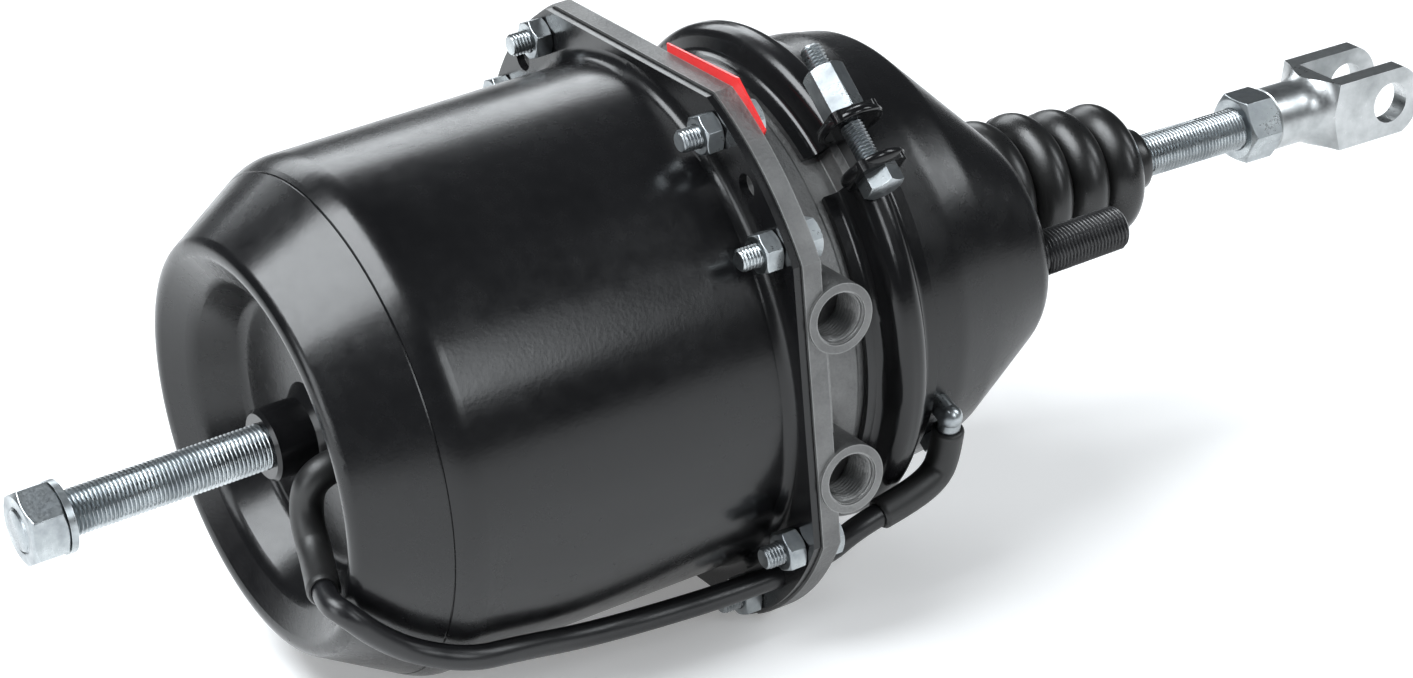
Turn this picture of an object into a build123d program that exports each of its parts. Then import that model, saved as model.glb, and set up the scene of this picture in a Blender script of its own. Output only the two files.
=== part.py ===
from build123d import *
import os
from math import acos, atan2, cos, degrees, hypot, pi, radians, sin, sqrt, tan

# Combined spring-brake actuator. Row frame in mm: origin at the centre of the
# mounting face, +X along the push rod and out of the housing, +Z up, ports
# facing -Y. The release bolt is wound out and the power spring is caged.

os.makedirs("parts", exist_ok=True)

# ---------------------------------------------------------------- dimensions
STROKE = 57.0                 # push rod and piston stroke

# spring housing (pot)
POT_R = 91.3                  # outside radius of the drawn pot
POT_T = 3.0                   # sheet thickness
POT_FLOOR = -256.0            # outside of the recessed end face
FLANGE_X = -121.0             # joint face of pot flange and centre body
FLANGE_FLAT = 98.0            # centre to flat edge of the pot flange
FLANGE_R = 111.0              # corner radius of the pot flange
BODY_FLAT = 99.0
BODY_R = 112.0
BODY_FLANGE_T = 7.0
BOLT_CIRCLE_R = 103.2         # flange bolts and corner holes
BOLT_ANGLES = [a + q for q in (0, 90, 180, 270) for a in (32.5, 57.5)]
CORNER_HOLE_R = 4.5

# ports
PORT_X = -108.3
PORT_Z = 29.9
PORT_FACE = 100.0             # distance of the port faces from the axis, along -Y
PORT_BOSS_R = 12.4
PORT_R = 8.9
PORT_DEPTH = 16.0

# clamp band
CLAMP_T = 2.4
CLAMP_ANGLE = 46.5            # first joint, from -Y toward +Z
CLAMP_GAP = 15.0
CLAMP_BOLT_R = 98.0
CLAMP_BOLT_X = -75.0

# service housing
DOME_R = 79.0
DOME_T = 3.0
PAD_LENGTH = 143.0
PAD_HEIGHT = 90.0
PAD_TURN = -3.9               # stud line against Y
STUD_SPACING = 120.65
STUD_R = 8.0
STUD_OUT = 35.0

# push rod line, drooping about its foot
PIVOT_X = -66.0
DROOP = 2.3
ROD_R = 8.0
PIN_S = 265.3                 # pin hole from the pivot, along the rod
PIN_R = 8.0
FORK_WIDTH = 33.0
FORK_HEIGHT = 26.7
FORK_SLOT = 19.0

# piston and tube
PISTON_X = -183.0             # front face, caged
TUBE_R = 15.0
TUBE_BORE = 11.0
RUN = 0.05                    # running clearance
SCREW = 0.06                  # clearance in screw threads


# ------------------------------------------------------------------- helpers
def rounded(points, radii):
    """A polyline with rounded inner corners: two points for a line, three for an arc."""
    segs = []
    cur = points[0]
    for i in range(1, len(points) - 1):
        a, b, c = points[i - 1], points[i], points[i + 1]
        r = radii[i - 1]
        ux, uy = a[0] - b[0], a[1] - b[1]
        vx, vy = c[0] - b[0], c[1] - b[1]
        lu, lv = hypot(ux, uy), hypot(vx, vy)
        ux, uy, vx, vy = ux / lu, uy / lu, vx / lv, vy / lv
        ang = acos(max(-1.0, min(1.0, ux * vx + uy * vy)))
        t = r / tan(ang / 2)
        p = (b[0] + ux * t, b[1] + uy * t)
        q = (b[0] + vx * t, b[1] + vy * t)
        bx, by = ux + vx, uy + vy
        lb = hypot(bx, by)
        d = r / sin(ang / 2) - r
        m = (b[0] + bx / lb * d, b[1] + by / lb * d)
        segs.append((cur, p))
        segs.append((p, m, q))
        cur = q
    segs.append((cur, points[-1]))
    return segs


def shifted(points, radii, t):
    """The polyline moved t to the right of its direction, with its corner radii."""
    n = []
    for a, b in zip(points, points[1:]):
        l = hypot(b[0] - a[0], b[1] - a[1])
        n.append(((b[1] - a[1]) / l, -(b[0] - a[0]) / l))
    out = [(points[0][0] + n[0][0] * t, points[0][1] + n[0][1] * t)]
    rr = []
    for i in range(1, len(points) - 1):
        n0, n1 = n[i - 1], n[i]
        k = t / (1 + n0[0] * n1[0] + n0[1] * n1[1])
        out.append((points[i][0] + (n0[0] + n1[0]) * k, points[i][1] + (n0[1] + n1[1]) * k))
        left = n0[0] * n1[1] - n0[1] * n1[0] > 0
        rr.append(radii[i - 1] + (t if left else -t))
    out.append((points[-1][0] + n[-1][0] * t, points[-1][1] + n[-1][1] * t))
    return out, rr


def draw(segs):
    for s in segs:
        if hypot(s[0][0] - s[-1][0], s[0][1] - s[-1][1]) < 1e-6:
            continue
        if len(s) == 2:
            Line(*s)
        else:
            ThreePointArc(*s)


def draw_sheet(points, radii, t):
    """Closed section of a sheet of thickness t to the right of the polyline."""
    inner, inner_radii = shifted(points, radii, t)
    back = [tuple(reversed(s)) for s in reversed(rounded(inner, inner_radii))]
    draw(rounded(points, radii) + [(points[-1], inner[-1])] + back + [(inner[0], points[0])])


def ring(x0, x1, r0, r1):
    """Section of a ring about X."""
    draw([((x0, r0), (x0, r1)), ((x0, r1), (x1, r1)), ((x1, r1), (x1, r0)), ((x1, r0), (x0, r0))])


def circle_points(r, angles):
    return [(r * cos(radians(a)), r * sin(radians(a))) for a in angles]


def hose_radii(points):
    """Corner radii of a hose route: 0.45 of the shorter run over tan of half the turn."""
    out = []
    for a, b, c in zip(points, points[1:], points[2:]):
        u, v = Vector(b) - Vector(a), Vector(c) - Vector(b)
        turn = radians(u.get_angle(v))
        out.append(0.45 * min(u.length, v.length) / tan(turn / 2))
    return out


BOLTS = circle_points(BOLT_CIRCLE_R, BOLT_ANGLES)
CORNERS = circle_points(BOLT_CIRCLE_R, (45, 135, 225, 315))
PLATE_BOLT = min(BOLTS, key=lambda p: hypot(p[0] + 55.4, p[1] - 87.0))
OTHER_BOLTS = [p for p in BOLTS if p != PLATE_BOLT]

# ------------------------------------------------------------ spring housing
POT_LINE = [
    (FLANGE_X - POT_T, 97.8),
    (FLANGE_X - POT_T, POT_R),
    (-245.1, POT_R),
    (-280.83, 70.63),
    (-272.33, 55.9),
    (POT_FLOOR, 47.5),
    (POT_FLOOR, 12.65),
]
POT_RADII = [4.2, 18.0, 5.0, 8.0, 5.0]
with BuildPart() as spring_housing:
    with BuildSketch(Plane.XY):
        with BuildLine():
            draw_sheet(POT_LINE, POT_RADII, -POT_T)
        make_face()
    revolve(axis=Axis.X)
    with BuildSketch(Plane.YZ.offset(FLANGE_X - POT_T)):
        Circle(FLANGE_R)
        Rectangle(2 * FLANGE_FLAT, 2 * FLANGE_FLAT, mode=Mode.INTERSECT)
        Circle(97.4, mode=Mode.SUBTRACT)
    extrude(amount=POT_T)
    with BuildSketch(Plane.YZ.offset(FLANGE_X - POT_T - 1)):
        with Locations(*BOLTS):
            Circle(4.3)
        with Locations(*CORNERS):
            Circle(CORNER_HOLE_R)
    extrude(amount=POT_T + 2, mode=Mode.SUBTRACT)
    with BuildSketch(Plane.XY):
        with BuildLine():
            ring(-251.6, -250.9, 87.5, 95.0)
        make_face()
    revolve(axis=Axis.X, mode=Mode.SUBTRACT)
    with BuildSketch(Plane.YZ.offset(POT_FLOOR - 2)):
        with Locations((-24, -2)):
            Circle(4.3)
    extrude(amount=8, mode=Mode.SUBTRACT)
spring_housing.part.label = "spring_housing"

with BuildPart() as release_boss:
    with BuildSketch(Plane.XY):
        with BuildLine():
            Polyline(
                (-274.6, STUD_R + SCREW), (-274.6, 11.4), (-273.4, 12.6), (-259.8, 12.6),
                (-256.05, 16.6), (-256.05, 12.6), (-252.95, 12.6), (-252.95, 15.5),
                (-247.0, 15.5), (-247.0, STUD_R + SCREW), close=True,
            )
        make_face()
    revolve(axis=Axis.X)
release_boss.part.label = "release_boss"

with BuildPart() as rear_nipple:
    with BuildSketch(Plane.XY.offset(-2)):
        with BuildLine():
            draw([
                ((-263.0, -24 + 1.8), (-263.0, -24 + 3.4)), ((-263.0, -24 + 3.4), (-261.0, -24 + 4.2)),
                ((-261.0, -24 + 4.2), (-253.0, -24 + 4.2)), ((-253.0, -24 + 4.2), (-253.0, -24 + 7.0)),
                ((-253.0, -24 + 7.0), (-250.0, -24 + 7.0)), ((-250.0, -24 + 7.0), (-250.0, -24 + 1.8)),
                ((-250.0, -24 + 1.8), (-263.0, -24 + 1.8)),
            ])
        make_face()
    revolve(axis=Axis((0, -24, -2), (1, 0, 0)))
rear_nipple.part.label = "rear_nipple"

# -------------------------------------------------------------- release bolt
with BuildPart() as release_bolt:
    with BuildSketch(Plane.XY):
        with BuildLine():
            Polyline(
                (-362.6, 0), (-362.6, 6.8), (-361.4, 8.0), (-180.0, 8.0), (-180.0, 10.4),
                (-171.0, 10.4), (-170.0, 9.4), (-170.0, 0), close=True,
            )
        make_face()
    revolve(axis=Axis.X)
    with BuildSketch(Plane.XY.offset(-15)):
        with Locations((-355.6, 0)):
            Circle(2.02)
    extrude(amount=30, mode=Mode.SUBTRACT)
release_bolt.part.label = "release_bolt"

with BuildPart() as release_nut:
    with BuildSketch(Plane.YZ.offset(-362.1)):
        RegularPolygon(radius=12.0, side_count=6, major_radius=False)
        Circle(8.03, mode=Mode.SUBTRACT)
    extrude(amount=13.0)
    with BuildSketch(Plane.XY):
        with BuildLine():
            Polyline((-362.1, 8.03), (-362.1, 11.9), (-360.6, 13.9), (-350.6, 13.9), (-349.1, 11.9), (-349.1, 8.03), close=True)
        make_face()
    revolve(axis=Axis.X, mode=Mode.INTERSECT)
    with BuildSketch(Plane.XY.offset(-15)):
        with Locations((-355.6, 0)):
            Circle(2.02)
    extrude(amount=30, mode=Mode.SUBTRACT)
release_nut.part.label = "release_nut"

with BuildPart() as release_pin:
    with BuildSketch(Plane.XY.offset(-12.1)):
        with Locations((-355.6, 0)):
            Circle(2.0)
            Circle(1.1, mode=Mode.SUBTRACT)
    extrude(amount=24.2)
release_pin.part.label = "release_pin"

with BuildPart() as release_washer:
    with BuildSketch(Plane.XY):
        with BuildLine():
            ring(-349.1, -346.6, 8.03, 12.6)
        make_face()
    revolve(axis=Axis.X)
release_washer.part.label = "release_washer"

with BuildPart() as release_follower:
    with BuildSketch(Plane.XY):
        with BuildLine():
            ring(-183.0, -180.0, 8.4, 10.4)
        make_face()
    revolve(axis=Axis.X)
release_follower.part.label = "release_follower"

# ------------------------------------------------- piston, tube, power spring
with BuildPart() as spring_piston:
    with BuildSketch(Plane.XY):
        with BuildLine():
            Polyline(
                (PISTON_X, 8.6), (PISTON_X, 85.5), (PISTON_X - 2, 87.5), (-206, 87.5), (-208, 85.5),
                (-208, 80.5), (-190.5, 79.0), (-188.0, 76.5), (-188.0, 8.6), close=True,
            )
        make_face()
    revolve(axis=Axis.X)
    with BuildSketch(Plane.XY):
        with BuildLine():
            ring(-196.0, -190.0, 84.0, 90.0)
        make_face()
        with BuildLine():
            ring(-205.0, -199.0, 84.0, 90.0)
        make_face()
    revolve(axis=Axis.X, mode=Mode.SUBTRACT)
spring_piston.part.label = "spring_piston"

with BuildPart() as piston_seal:
    with BuildSketch(Plane.XY):
        with BuildLine():
            Polyline((-195.8, 84.0), (-195.8, 88.3 - RUN), (-194.8, 88.3 - RUN), (-190.2, 86.6), (-190.2, 84.0), close=True)
        make_face()
    revolve(axis=Axis.X)
piston_seal.part.label = "piston_seal"

with BuildPart() as piston_guide_ring:
    with BuildSketch(Plane.XY):
        with BuildLine():
            ring(-204.8, -199.2, 84.0, 88.3 - 2 * RUN)
        make_face()
    revolve(axis=Axis.X)
piston_guide_ring.part.label = "piston_guide_ring"

with BuildPart() as piston_tube:
    with BuildSketch(Plane.XY):
        with BuildLine():
            Polyline(
                (-183.0, TUBE_BORE), (-183.0, 19.0), (-179.0, 19.0), (-179.0, TUBE_R),
                (-90.0, TUBE_R), (-90.0, TUBE_BORE), close=True,
            )
        make_face()
    revolve(axis=Axis.X)
piston_tube.part.label = "piston_tube"

with BuildPart() as thrust_piece:
    with BuildSketch(Plane.XY):
        with BuildLine():
            Polyline((-102.0, 0), (-102.0, TUBE_BORE - 0.05), (-90.0, TUBE_BORE - 0.05), (-90.0, 14.6), (-88.0, 13.6), (-88.0, 0), close=True)
        make_face()
    revolve(axis=Axis.X)
thrust_piece.part.label = "thrust_piece"

SPRING_R, SPRING_WIRE = 67.0, 13.0
SPRING_X0, SPRING_X1 = -267.0, -188.0 - SPRING_WIRE / 2 - 0.1
with BuildPart() as power_spring:
    with BuildLine():
        power_line = Helix(
            pitch=(SPRING_X1 - SPRING_X0) / 4.5, height=SPRING_X1 - SPRING_X0, radius=SPRING_R,
            center=(SPRING_X0, 0, 0), direction=(1, 0, 0),
        )
    with BuildSketch(Plane(origin=power_line @ 0, z_dir=power_line % 0)):
        Circle(SPRING_WIRE / 2)
    sweep(is_frenet=True)
power_spring.part.label = "power_spring"

# --------------------------------------------------------------- centre body
with BuildPart() as centre_body:
    with BuildSketch(Plane.YZ.offset(FLANGE_X)):
        Circle(BODY_R)
        Rectangle(2 * BODY_FLAT, 2 * BODY_FLAT, mode=Mode.INTERSECT)
    extrude(amount=BODY_FLANGE_T)
    with BuildSketch(Plane.XY):
        with BuildLine():
            draw(rounded(
                [(-125, 0), (-125, 88.2), (-121, 88.2), (-121, 95), (-114, 95), (-114, 81), (-90.5, 81),
                 (-90.5, 79), (-80.45, 79), (-78.3, 84.5), (-75, 84.5), (-75, 0)],
                [0.01, 0.01, 0.01, 0.01, 5.0, 1.0, 1.0, 0.5, 0.5, 0.01],
            ) + [((-75, 0), (-125, 0))])
        make_face()
    revolve(axis=Axis.X)
    # wall and bosses of the two ports
    with BuildSketch(Plane.XZ.offset(60)):
        with BuildLine():
            Polyline((-114.5, -49.5), (-114.5, 49.5), (-106.7, 45.0), (-106.7, -45.0), close=True)
        make_face()
    extrude(amount=28)
    with BuildSketch(Plane.XZ.offset(60)):
        with Locations((PORT_X, PORT_Z), (PORT_X, -PORT_Z)):
            Circle(PORT_BOSS_R)
    extrude(amount=PORT_FACE - 60)
    # cavities on both sides of the partition
    with BuildSketch(Plane.XY):
        with BuildLine():
            Polyline((-126, 0), (-126, 84), (-121, 82), (-112, 76), (-112, 26), (-121, 27), (-121, 0), close=True)
        make_face()
        with BuildLine():
            Polyline((-74, 0), (-74, 75.1), (-91, 75.1), (-106, 71), (-106, 27), (-91, 26), (-91, 0), close=True)
        make_face()
    revolve(axis=Axis.X, mode=Mode.SUBTRACT)
    # bore of the hub with its seal grooves
    with BuildSketch(Plane.XY):
        with BuildLine():
            ring(-122.0, -90.0, 0.0, 17.0)
        make_face()
        with BuildLine():
            ring(-119.0, -115.0, 16.0, 19.0)
        make_face()
        with BuildLine():
            ring(-97.0, -93.0, 16.0, 19.0)
        make_face()
    revolve(axis=Axis.X, mode=Mode.SUBTRACT)
    # threaded ports and their passages
    with BuildSketch(Plane.XZ.offset(PORT_FACE - PORT_DEPTH)):
        with Locations((PORT_X, PORT_Z), (PORT_X, -PORT_Z)):
            Circle(PORT_R)
    extrude(amount=PORT_DEPTH + 2, mode=Mode.SUBTRACT)
    with BuildSketch(Plane.XZ.offset(PORT_FACE - 0.6)):
        with Locations((PORT_X, PORT_Z), (PORT_X, -PORT_Z)):
            Circle(PORT_R + 0.5)
    extrude(amount=2, mode=Mode.SUBTRACT)
    with BuildSketch(Plane(origin=(PORT_X, -84.0, PORT_Z), z_dir=(9.3, 14.0, 0))):
        Circle(3.0)
    extrude(amount=22, mode=Mode.SUBTRACT)
    with BuildSketch(Plane(origin=(PORT_X, -84.0, -PORT_Z), z_dir=(-8.0, 14.0, 0))):
        Circle(3.0)
    extrude(amount=20, mode=Mode.SUBTRACT)
    # flange holes
    with BuildSketch(Plane.YZ.offset(FLANGE_X - 1)):
        with Locations(*BOLTS):
            Circle(4.3)
        with Locations(*CORNERS):
            Circle(CORNER_HOLE_R)
    extrude(amount=BODY_FLANGE_T + 2, mode=Mode.SUBTRACT)
centre_body.part.label = "centre_body"

with BuildPart() as housing_seal:
    with BuildSketch(Plane.XY):
        with Locations((FLANGE_X - 1.25, 89.5)):
            Circle(1.2)
    revolve(axis=Axis.X)
housing_seal.part.label = "housing_seal"

with BuildPart() as hub_bush:
    with BuildSketch(Plane.XY):
        with BuildLine():
            ring(-114.0, -98.0, TUBE_R + RUN, 17.0)
        make_face()
    revolve(axis=Axis.X)
hub_bush.part.label = "hub_bush"

with BuildPart() as rear_hub_seal:
    with BuildSketch(Plane.XY):
        with BuildLine():
            ring(-118.8, -115.2, TUBE_R + RUN, 19.0)
        make_face()
    revolve(axis=Axis.X)
rear_hub_seal.part.label = "rear_hub_seal"

with BuildPart() as front_hub_seal:
    with BuildSketch(Plane.XY):
        with BuildLine():
            ring(-96.8, -93.2, TUBE_R + RUN, 19.0)
        make_face()
    revolve(axis=Axis.X)
front_hub_seal.part.label = "front_hub_seal"

PLATE_T = 0.8
FLANGE_FRONT = FLANGE_X + BODY_FLANGE_T
with BuildPart() as flange_bolts:
    with BuildSketch(Plane.YZ.offset(-137.7)):
        with Locations(*BOLTS):
            Circle(4.0)
    extrude(amount=FLANGE_FRONT + 137.7 + 0.8)
    with BuildSketch(Plane.YZ.offset(FLANGE_FRONT)):
        with Locations(*OTHER_BOLTS):
            RegularPolygon(radius=6.5, side_count=6, major_radius=False, rotation=15)
    extrude(amount=5.3)
    with BuildSketch(Plane.YZ.offset(FLANGE_FRONT + PLATE_T)):
        with Locations(PLATE_BOLT):
            RegularPolygon(radius=6.5, side_count=6, major_radius=False, rotation=15)
    extrude(amount=5.3)
flange_bolts.part.label = "flange_bolts"

with BuildPart() as flange_nuts:
    with BuildSketch(Plane.YZ.offset(-130.8)):
        with Locations(*BOLTS):
            RegularPolygon(radius=6.5, side_count=6, major_radius=False, rotation=8)
            Circle(4.02, mode=Mode.SUBTRACT)
    extrude(amount=6.8)
flange_nuts.part.label = "flange_nuts"

with BuildPart() as marker_plate:
    with BuildSketch(Plane.YZ.offset(FLANGE_FRONT)):
        with BuildLine():
            Polyline((-12, 95), (-12, 102), (-56, 103), (-70.5, 89), (-66, 82), (-55, 79.5), (-45, 82), (-42, 95), close=True)
        make_face()
        with Locations(PLATE_BOLT):
            Circle(4.3, mode=Mode.SUBTRACT)
    extrude(amount=PLATE_T)
marker_plate.part.label = "marker_plate"

# ---------------------------------------------------------------- clamp band
CLAMP_LINE = [(-87.5, 81.9), (-82, 81.9), (-78.5, 91), (-69.5, 91), (-64, 81.6), (-58.5, 81.6)]
CLAMP_RADII = [3.0, 5.5, 5.5, 3.0]


def clamp_axes(sign):
    """Outward and along-the-bolt directions at one of the two joints of the band."""
    a = radians(CLAMP_ANGLE)
    out = Vector(0, -sign * cos(a), sign * sin(a))
    along = Vector(0, sign * sin(a), sign * cos(a))
    return out, along


def clamp_plane(sign, offset):
    out, along = clamp_axes(sign)
    origin = Vector(CLAMP_BOLT_X, 0, 0) + out * CLAMP_BOLT_R + along * offset
    return Plane(origin=origin, x_dir=(1, 0, 0), z_dir=along)


def clamp_half_axes(side):
    out, along = clamp_axes(1)
    return Plane(origin=Vector(-72.5, 0, 0) + along * (side * CLAMP_GAP / 2), x_dir=(1, 0, 0), z_dir=along * side)


with BuildPart() as clamp_half_upper:
    with BuildSketch(Plane.XY):
        with BuildLine():
            draw_sheet(CLAMP_LINE, CLAMP_RADII, CLAMP_T)
        make_face()
    revolve(axis=Axis.X)
    with BuildSketch(clamp_half_axes(1)):
        Rectangle(60, 260)
    extrude(amount=120, mode=Mode.INTERSECT)
    with BuildSketch(clamp_plane(1, CLAMP_GAP / 2)):
        RectangleRounded(18, 17, 2.5)
    extrude(amount=4)
    with BuildSketch(clamp_plane(-1, -CLAMP_GAP / 2 - 4)):
        RectangleRounded(18, 17, 2.5)
    extrude(amount=4)
    with BuildSketch(clamp_plane(1, CLAMP_GAP / 2 - 1), clamp_plane(-1, -CLAMP_GAP / 2 - 5)):
        Circle(4.3)
    extrude(amount=6, mode=Mode.SUBTRACT)
clamp_half_upper.part.label = "clamp_half_upper"

with BuildPart() as clamp_half_lower:
    with BuildSketch(Plane.XY):
        with BuildLine():
            draw_sheet(CLAMP_LINE, CLAMP_RADII, CLAMP_T)
        make_face()
    revolve(axis=Axis.X)
    with BuildSketch(clamp_half_axes(-1)):
        Rectangle(60, 260)
    extrude(amount=120, mode=Mode.INTERSECT)
    with BuildSketch(clamp_plane(-1, CLAMP_GAP / 2)):
        RectangleRounded(18, 17, 2.5)
    extrude(amount=4)
    with BuildSketch(clamp_plane(1, -CLAMP_GAP / 2 - 4)):
        RectangleRounded(18, 17, 2.5)
    extrude(amount=4)
    with BuildSketch(clamp_plane(-1, CLAMP_GAP / 2 - 1), clamp_plane(1, -CLAMP_GAP / 2 - 5)):
        Circle(4.3)
    extrude(amount=6, mode=Mode.SUBTRACT)
clamp_half_lower.part.label = "clamp_half_lower"

with BuildPart() as clamp_bolts:
    with BuildSketch(clamp_plane(1, -17.5), clamp_plane(-1, -17.5)):
        RegularPolygon(radius=6.5, side_count=6, major_radius=False)
    extrude(amount=6.0)
    with BuildSketch(clamp_plane(1, -17.5), clamp_plane(-1, -17.5)):
        Circle(4.0)
    extrude(amount=56.0)
clamp_bolts.part.label = "clamp_bolts"

with BuildPart() as clamp_nuts:
    with BuildSketch(clamp_plane(1, 11.5), clamp_plane(-1, 11.5)):
        RegularPolygon(radius=6.5, side_count=6, major_radius=False)
        Circle(4.02, mode=Mode.SUBTRACT)
    extrude(amount=18.0)
clamp_nuts.part.label = "clamp_nuts"

# ------------------------------------------------------------------ diaphragm
with BuildPart() as diaphragm:
    with BuildSketch(Plane.XY):
        with BuildLine():
            Polyline(
                (-75, 84.5), (-75, 75.1), (-82.5, 75.1), (-87.0, 70.0), (-87.0, 0), (-84.0, 0), (-84.0, 68.0),
                (-80.0, 72.4), (-71, 72.4), (-71, 84.5), close=True,
            )
        make_face()
    revolve(axis=Axis.X)
diaphragm.part.label = "diaphragm"

# ----------------------------------------------------------- service housing
DOME_LINE = [(-65.5, DOME_R), (-45.0, DOME_R), (-30.1, 76.1), (0.0, 36.0)]
DOME_RADII = [25.0, 5.0]
DOME_IN, DOME_IN_RADII = shifted(DOME_LINE, DOME_RADII, DOME_T)
(ax, ar), (bx, br) = DOME_IN[-2], DOME_IN[-1]
DOME_IN[-1] = (-DOME_T, ar + (br - ar) * (-DOME_T - ax) / (bx - ax))
PIVOT = Vector(PIVOT_X, 0, 0)
STUDS = [
    (-STUD_SPACING / 2 * cos(radians(PAD_TURN)), -STUD_SPACING / 2 * sin(radians(PAD_TURN))),
    (STUD_SPACING / 2 * cos(radians(PAD_TURN)), STUD_SPACING / 2 * sin(radians(PAD_TURN))),
]
LIP_SEAT_R, LIP_SEAT_DEPTH = 29.2, 0.6
NECK_R = 7.2                  # stud neck inside the sheet
NIPPLE_ANGLE = 22.9
NIPPLE_X = -53.8
nipple_dir = Vector(0, -cos(radians(NIPPLE_ANGLE)), -sin(radians(NIPPLE_ANGLE)))
PLUG_ANGLE = 38.0
PLUG_X = -49.6
plug_dir = Vector(0, -cos(radians(PLUG_ANGLE)), -sin(radians(PLUG_ANGLE)))
with BuildPart() as pad_hollow:
    with BuildSketch(Plane.YZ.offset(-34)):
        SlotOverall(PAD_LENGTH - 2 * DOME_T, PAD_HEIGHT - 2 * DOME_T, rotation=PAD_TURN)
    extrude(amount=34 - DOME_T)
    fillet(pad_hollow.edges().group_by(Axis.X)[-1], 5.0)
with BuildPart() as service_housing:
    with BuildSketch(Plane.YZ.offset(-30)):
        SlotOverall(PAD_LENGTH, PAD_HEIGHT, rotation=PAD_TURN)
    extrude(amount=30)
    fillet(service_housing.edges().group_by(Axis.X)[-1], 8.0)
    with BuildSketch(Plane.XY):
        with BuildLine():
            draw(
                [((-71, 0), (-71, 84.5)), ((-71, 84.5), (-68.8, 84.5)), ((-68.8, 84.5), (-65.5, DOME_R))]
                + rounded(DOME_LINE, DOME_RADII) + [((0, 36.0), (0, 0)), ((0, 0), (-71, 0))]
            )
        make_face()
    revolve(axis=Axis.X)
    with BuildSketch(Plane.XY):
        with BuildLine():
            draw(
                [((-72, 0), (-72, DOME_R - DOME_T)), ((-72, DOME_R - DOME_T), DOME_IN[0])]
                + rounded(DOME_IN, DOME_IN_RADII)
                + [(DOME_IN[-1], (-DOME_T, 0)), ((-DOME_T, 0), (-72, 0))]
            )
        make_face()
    revolve(axis=Axis.X, mode=Mode.SUBTRACT)
    add(pad_hollow.part, mode=Mode.SUBTRACT)
    with BuildSketch(Plane.YZ.offset(-10)):
        Circle(24.0)
        with Locations(*STUDS):
            Circle(NECK_R + 0.05)
    extrude(amount=12, mode=Mode.SUBTRACT)
    with BuildSketch(Plane.YZ.offset(-LIP_SEAT_DEPTH)):
        Circle(LIP_SEAT_R)
        with Locations(*STUDS):
            Circle(9.0)
    extrude(amount=2, mode=Mode.SUBTRACT)
    with BuildSketch(Plane(origin=Vector(NIPPLE_X, 0, 0) + nipple_dir * 60, z_dir=nipple_dir)):
        Circle(4.2)
    extrude(amount=30, mode=Mode.SUBTRACT)
    with BuildSketch(Plane(origin=Vector(PLUG_X, 0, 0) + plug_dir * 60, z_dir=plug_dir)):
        Circle(4.0)
    extrude(amount=30, mode=Mode.SUBTRACT)
service_housing.part.label = "service_housing"

with BuildPart() as mounting_studs:
    with BuildSketch(Plane.YZ.offset(-DOME_T)):
        with Locations(*STUDS):
            Circle(NECK_R)
    extrude(amount=DOME_T + 1)
    with BuildSketch(Plane.YZ.offset(0.3)):
        with Locations(*STUDS):
            Circle(STUD_R)
    extrude(amount=STUD_OUT - 0.3)
    chamfer(mounting_studs.edges().group_by(Axis.X)[-1], 1.0)
mounting_studs.part.label = "mounting_studs"

NIPPLE_TIP = Vector(NIPPLE_X, 0, 0) + nipple_dir * 86.2
SPIGOT_DIR = Vector(-0.1, -2.85, 9.7).normalized()
with BuildPart() as front_nipple:
    with BuildSketch(Plane(origin=Vector(NIPPLE_X, 0, 0) + nipple_dir * 73.8, z_dir=nipple_dir)):
        Circle(6.0)
    extrude(amount=1.8)
    with BuildSketch(Plane(origin=Vector(NIPPLE_X, 0, 0) + nipple_dir * 74, z_dir=nipple_dir)):
        Circle(4.1)
    extrude(amount=12.2)
    with Locations(NIPPLE_TIP):
        Sphere(4.4)
    with BuildSketch(Plane(origin=NIPPLE_TIP, z_dir=SPIGOT_DIR * -1)):
        Circle(4.1)
    extrude(amount=12)
    with BuildSketch(Plane(origin=Vector(NIPPLE_X, 0, 0) + nipple_dir * 73, z_dir=nipple_dir)):
        Circle(2.0)
    extrude(amount=13.2, mode=Mode.SUBTRACT)
    with BuildSketch(Plane(origin=NIPPLE_TIP, z_dir=SPIGOT_DIR * -1)):
        Circle(2.0)
    extrude(amount=13, mode=Mode.SUBTRACT)
front_nipple.part.label = "front_nipple"

with BuildPart() as drain_plug:
    with BuildSketch(Plane(origin=Vector(PLUG_X, 0, 0) + plug_dir * 76, z_dir=plug_dir)):
        Circle(3.95)
    extrude(amount=4)
    with BuildSketch(Plane(origin=Vector(PLUG_X, 0, 0) + plug_dir * 79.1, z_dir=plug_dir)):
        RegularPolygon(radius=5.0, side_count=6, major_radius=False)
    extrude(amount=4.5)
drain_plug.part.label = "drain_plug"

# -------------------------------------------------- push plate, return spring
BALL_R = 10.0
with BuildPart() as push_plate:
    with BuildSketch(Plane.XY):
        with BuildLine():
            Polyline(
                (-84.0, 0), (-84.0, 54.0), (-82.5, 56.5), (-79.5, 56.5), (-79.5, 55.0), (-81.0, 53.5),
                (-81.0, 20.0), (-78.0, 15.0), (-62.0, 13.0), (-62.0, 0), close=True,
            )
        make_face()
    revolve(axis=Axis.X)
    with Locations((PIVOT_X, 0, 0)):
        Sphere(BALL_R + RUN, mode=Mode.SUBTRACT)
push_plate.part.label = "push_plate"

with BuildPart() as return_spring:
    with BuildLine():
        return_line = Helix(
            pitch=73.0 / 4.25, height=73.0, radius=24.0, center=(-78.7, 0, 0), direction=(1, 0, 0), cone_angle=7.2,
        )
    with BuildSketch(Plane(origin=return_line @ 0, z_dir=return_line % 0)):
        Circle(2.0)
    sweep(is_frenet=True)
return_spring.part.label = "return_spring"

# ------------------------------------------------ push rod, lock nut, clevis
C, S = cos(radians(DROOP)), sin(radians(DROOP))


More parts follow.
